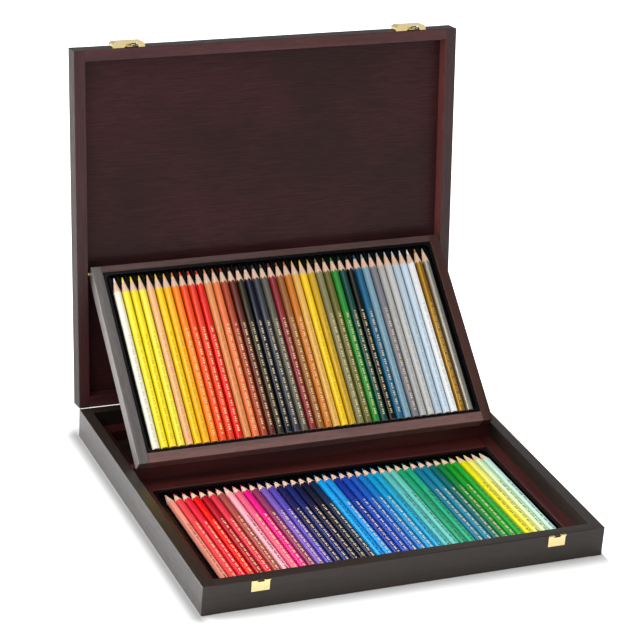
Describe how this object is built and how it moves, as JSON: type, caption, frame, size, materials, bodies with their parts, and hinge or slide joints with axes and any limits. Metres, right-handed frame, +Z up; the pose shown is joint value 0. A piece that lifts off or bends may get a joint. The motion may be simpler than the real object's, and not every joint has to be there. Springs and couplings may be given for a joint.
{
  "type": "coloured pencil presentation box",
  "caption": "Flat wooden presentation box for two layers of coloured pencils, with a hinged lid, two snap catches and an upper tray that rises and tilts as the lid opens.",
  "frame": {"origin": "centre of the underside of the base", "axes": "+Z up, -Y towards the front of the box, +X to the right; the lid hinges at the back, +Y"},
  "size_m": [0.384, 0.4092, 0.374],
  "materials": {
    "base_wood": "dark mahogany stain under satin lacquer",
    "panel_wood": "dark stained plywood, satin",
    "lid_wood": "dark mahogany stain under satin lacquer",
    "tray_wood": "dark mahogany stain under glossy lacquer",
    "fitting_wood": "dark mahogany stain under glossy lacquer",
    "black_insert": "vacuum-formed black sheet, glossy",
    "brass": "polished pale brass plate",
    "lower_pencils_coral": "glossy lacquered pencils in five neighbouring shades, named after their family",
    "lower_pencils_pink": "glossy lacquered pencils in five neighbouring shades, named after their family",
    "lower_pencils_violet": "glossy lacquered pencils in five neighbouring shades, named after their family",
    "lower_pencils_navy": "glossy lacquered pencils in five neighbouring shades, named after their family",
    "lower_pencils_blue": "glossy lacquered pencils in five neighbouring shades, named after their family",
    "lower_pencils_turquoise": "glossy lacquered pencils in five neighbouring shades, named after their family",
    "lower_pencils_green": "glossy lacquered pencils in five neighbouring shades, named after their family",
    "lower_pencils_lime": "glossy lacquered pencils in five neighbouring shades, named after their family",
    "upper_pencils_lemon": "glossy lacquered pencils in five neighbouring shades, named after their family",
    "upper_pencils_orange": "glossy lacquered pencils in five neighbouring shades, named after their family",
    "upper_pencils_russet": "glossy lacquered pencils in five neighbouring shades, named after their family",
    "upper_pencils_slate": "glossy lacquered pencils in five neighbouring shades, named after their family",
    "upper_pencils_ochre": "glossy lacquered pencils in five neighbouring shades, named after their family",
    "upper_pencils_olive": "glossy lacquered pencils in five neighbouring shades, named after their family",
    "upper_pencils_grey": "glossy lacquered pencils in five neighbouring shades, named after their family",
    "upper_pencils_silver": "glossy lacquered pencils in five neighbouring shades, named after their family"
  },
  "bodies": {
    "base": {"front_wall": "base_wood", "back_wall": "base_wood", "left_wall": "base_wood", "right_wall": "base_wood", "bottom_panel": "panel_wood", "left_ledge": "fitting_wood", "right_ledge": "fitting_wood", "middle_rail": "fitting_wood", "rear_rail": "fitting_wood", "divider": "fitting_wood", "lower_insert": "black_insert", "lower_pencils_coral": "lower_pencils_coral", "lower_pencils_pink": "lower_pencils_pink", "lower_pencils_violet": "lower_pencils_violet", "lower_pencils_navy": "lower_pencils_navy", "lower_pencils_blue": "lower_pencils_blue", "lower_pencils_turquoise": "lower_pencils_turquoise", "lower_pencils_green": "lower_pencils_green", "lower_pencils_lime": "lower_pencils_lime", "keeper_left": "brass", "keeper_right": "brass", "keeper_nails": "brass", "base_hinge_leaf_left": "brass", "base_hinge_leaf_right": "brass", "hinge_pin_left": "brass", "hinge_pin_right": "brass", "base_hinge_screws": "brass"},
    "lid": {"lid_front_rail": "lid_wood", "lid_back_rail": "lid_wood", "lid_left_stile": "lid_wood", "lid_right_stile": "lid_wood", "lid_panel": "lid_wood", "lid_hinge_leaf_left": "brass", "lid_hinge_leaf_right": "brass", "lid_hinge_screws": "brass", "catch_plate_left": "brass", "catch_plate_right": "brass", "catch_pin_left": "brass", "catch_pin_right": "brass", "catch_nails": "brass"},
    "tray": {"tray_top_rail": "tray_wood", "tray_foot_rail": "tray_wood", "tray_left_stile": "tray_wood", "tray_right_stile": "tray_wood", "tray_backing": "panel_wood", "upper_insert": "black_insert", "upper_pencils_lemon": "upper_pencils_lemon", "upper_pencils_orange": "upper_pencils_orange", "upper_pencils_russet": "upper_pencils_russet", "upper_pencils_slate": "upper_pencils_slate", "upper_pencils_ochre": "upper_pencils_ochre", "upper_pencils_olive": "upper_pencils_olive", "upper_pencils_grey": "upper_pencils_grey", "upper_pencils_silver": "upper_pencils_silver", "tray_pivot_left": "brass", "tray_pivot_right": "brass"},
    "catch_left": {"catch_lever_left": "brass"},
    "catch_right": {"catch_lever_right": "brass"}
  },
  "joints": [
    {"name": "lid_hinge", "type": "hinge", "parent": "base", "child": "lid", "pos_m": [0, 0.17162, 0.02875], "axis": [1, 0, 0], "range_deg": [0, 97.8]},
    {"name": "tray_pivot", "type": "hinge", "parent": "lid", "child": "tray", "pos_m": [0, 0.1921, 0.158], "axis": [1, 0, 0], "range_deg": [-137.42, 0]},
    {"name": "catch_left_pivot", "type": "hinge", "parent": "lid", "child": "catch_left", "pos_m": [-0.13948, 0.22896, 0.36966], "axis": [-1, 0, 0], "range_deg": [0, 40]},
    {"name": "catch_right_pivot", "type": "hinge", "parent": "lid", "child": "catch_right", "pos_m": [0.14348, 0.22896, 0.36966], "axis": [-1, 0, 0], "range_deg": [0, 40]}
  ],
  "couplings": [
    {"joint": "tray_pivot", "follows": "lid_hinge", "ratio": -1.4051}
  ]
}
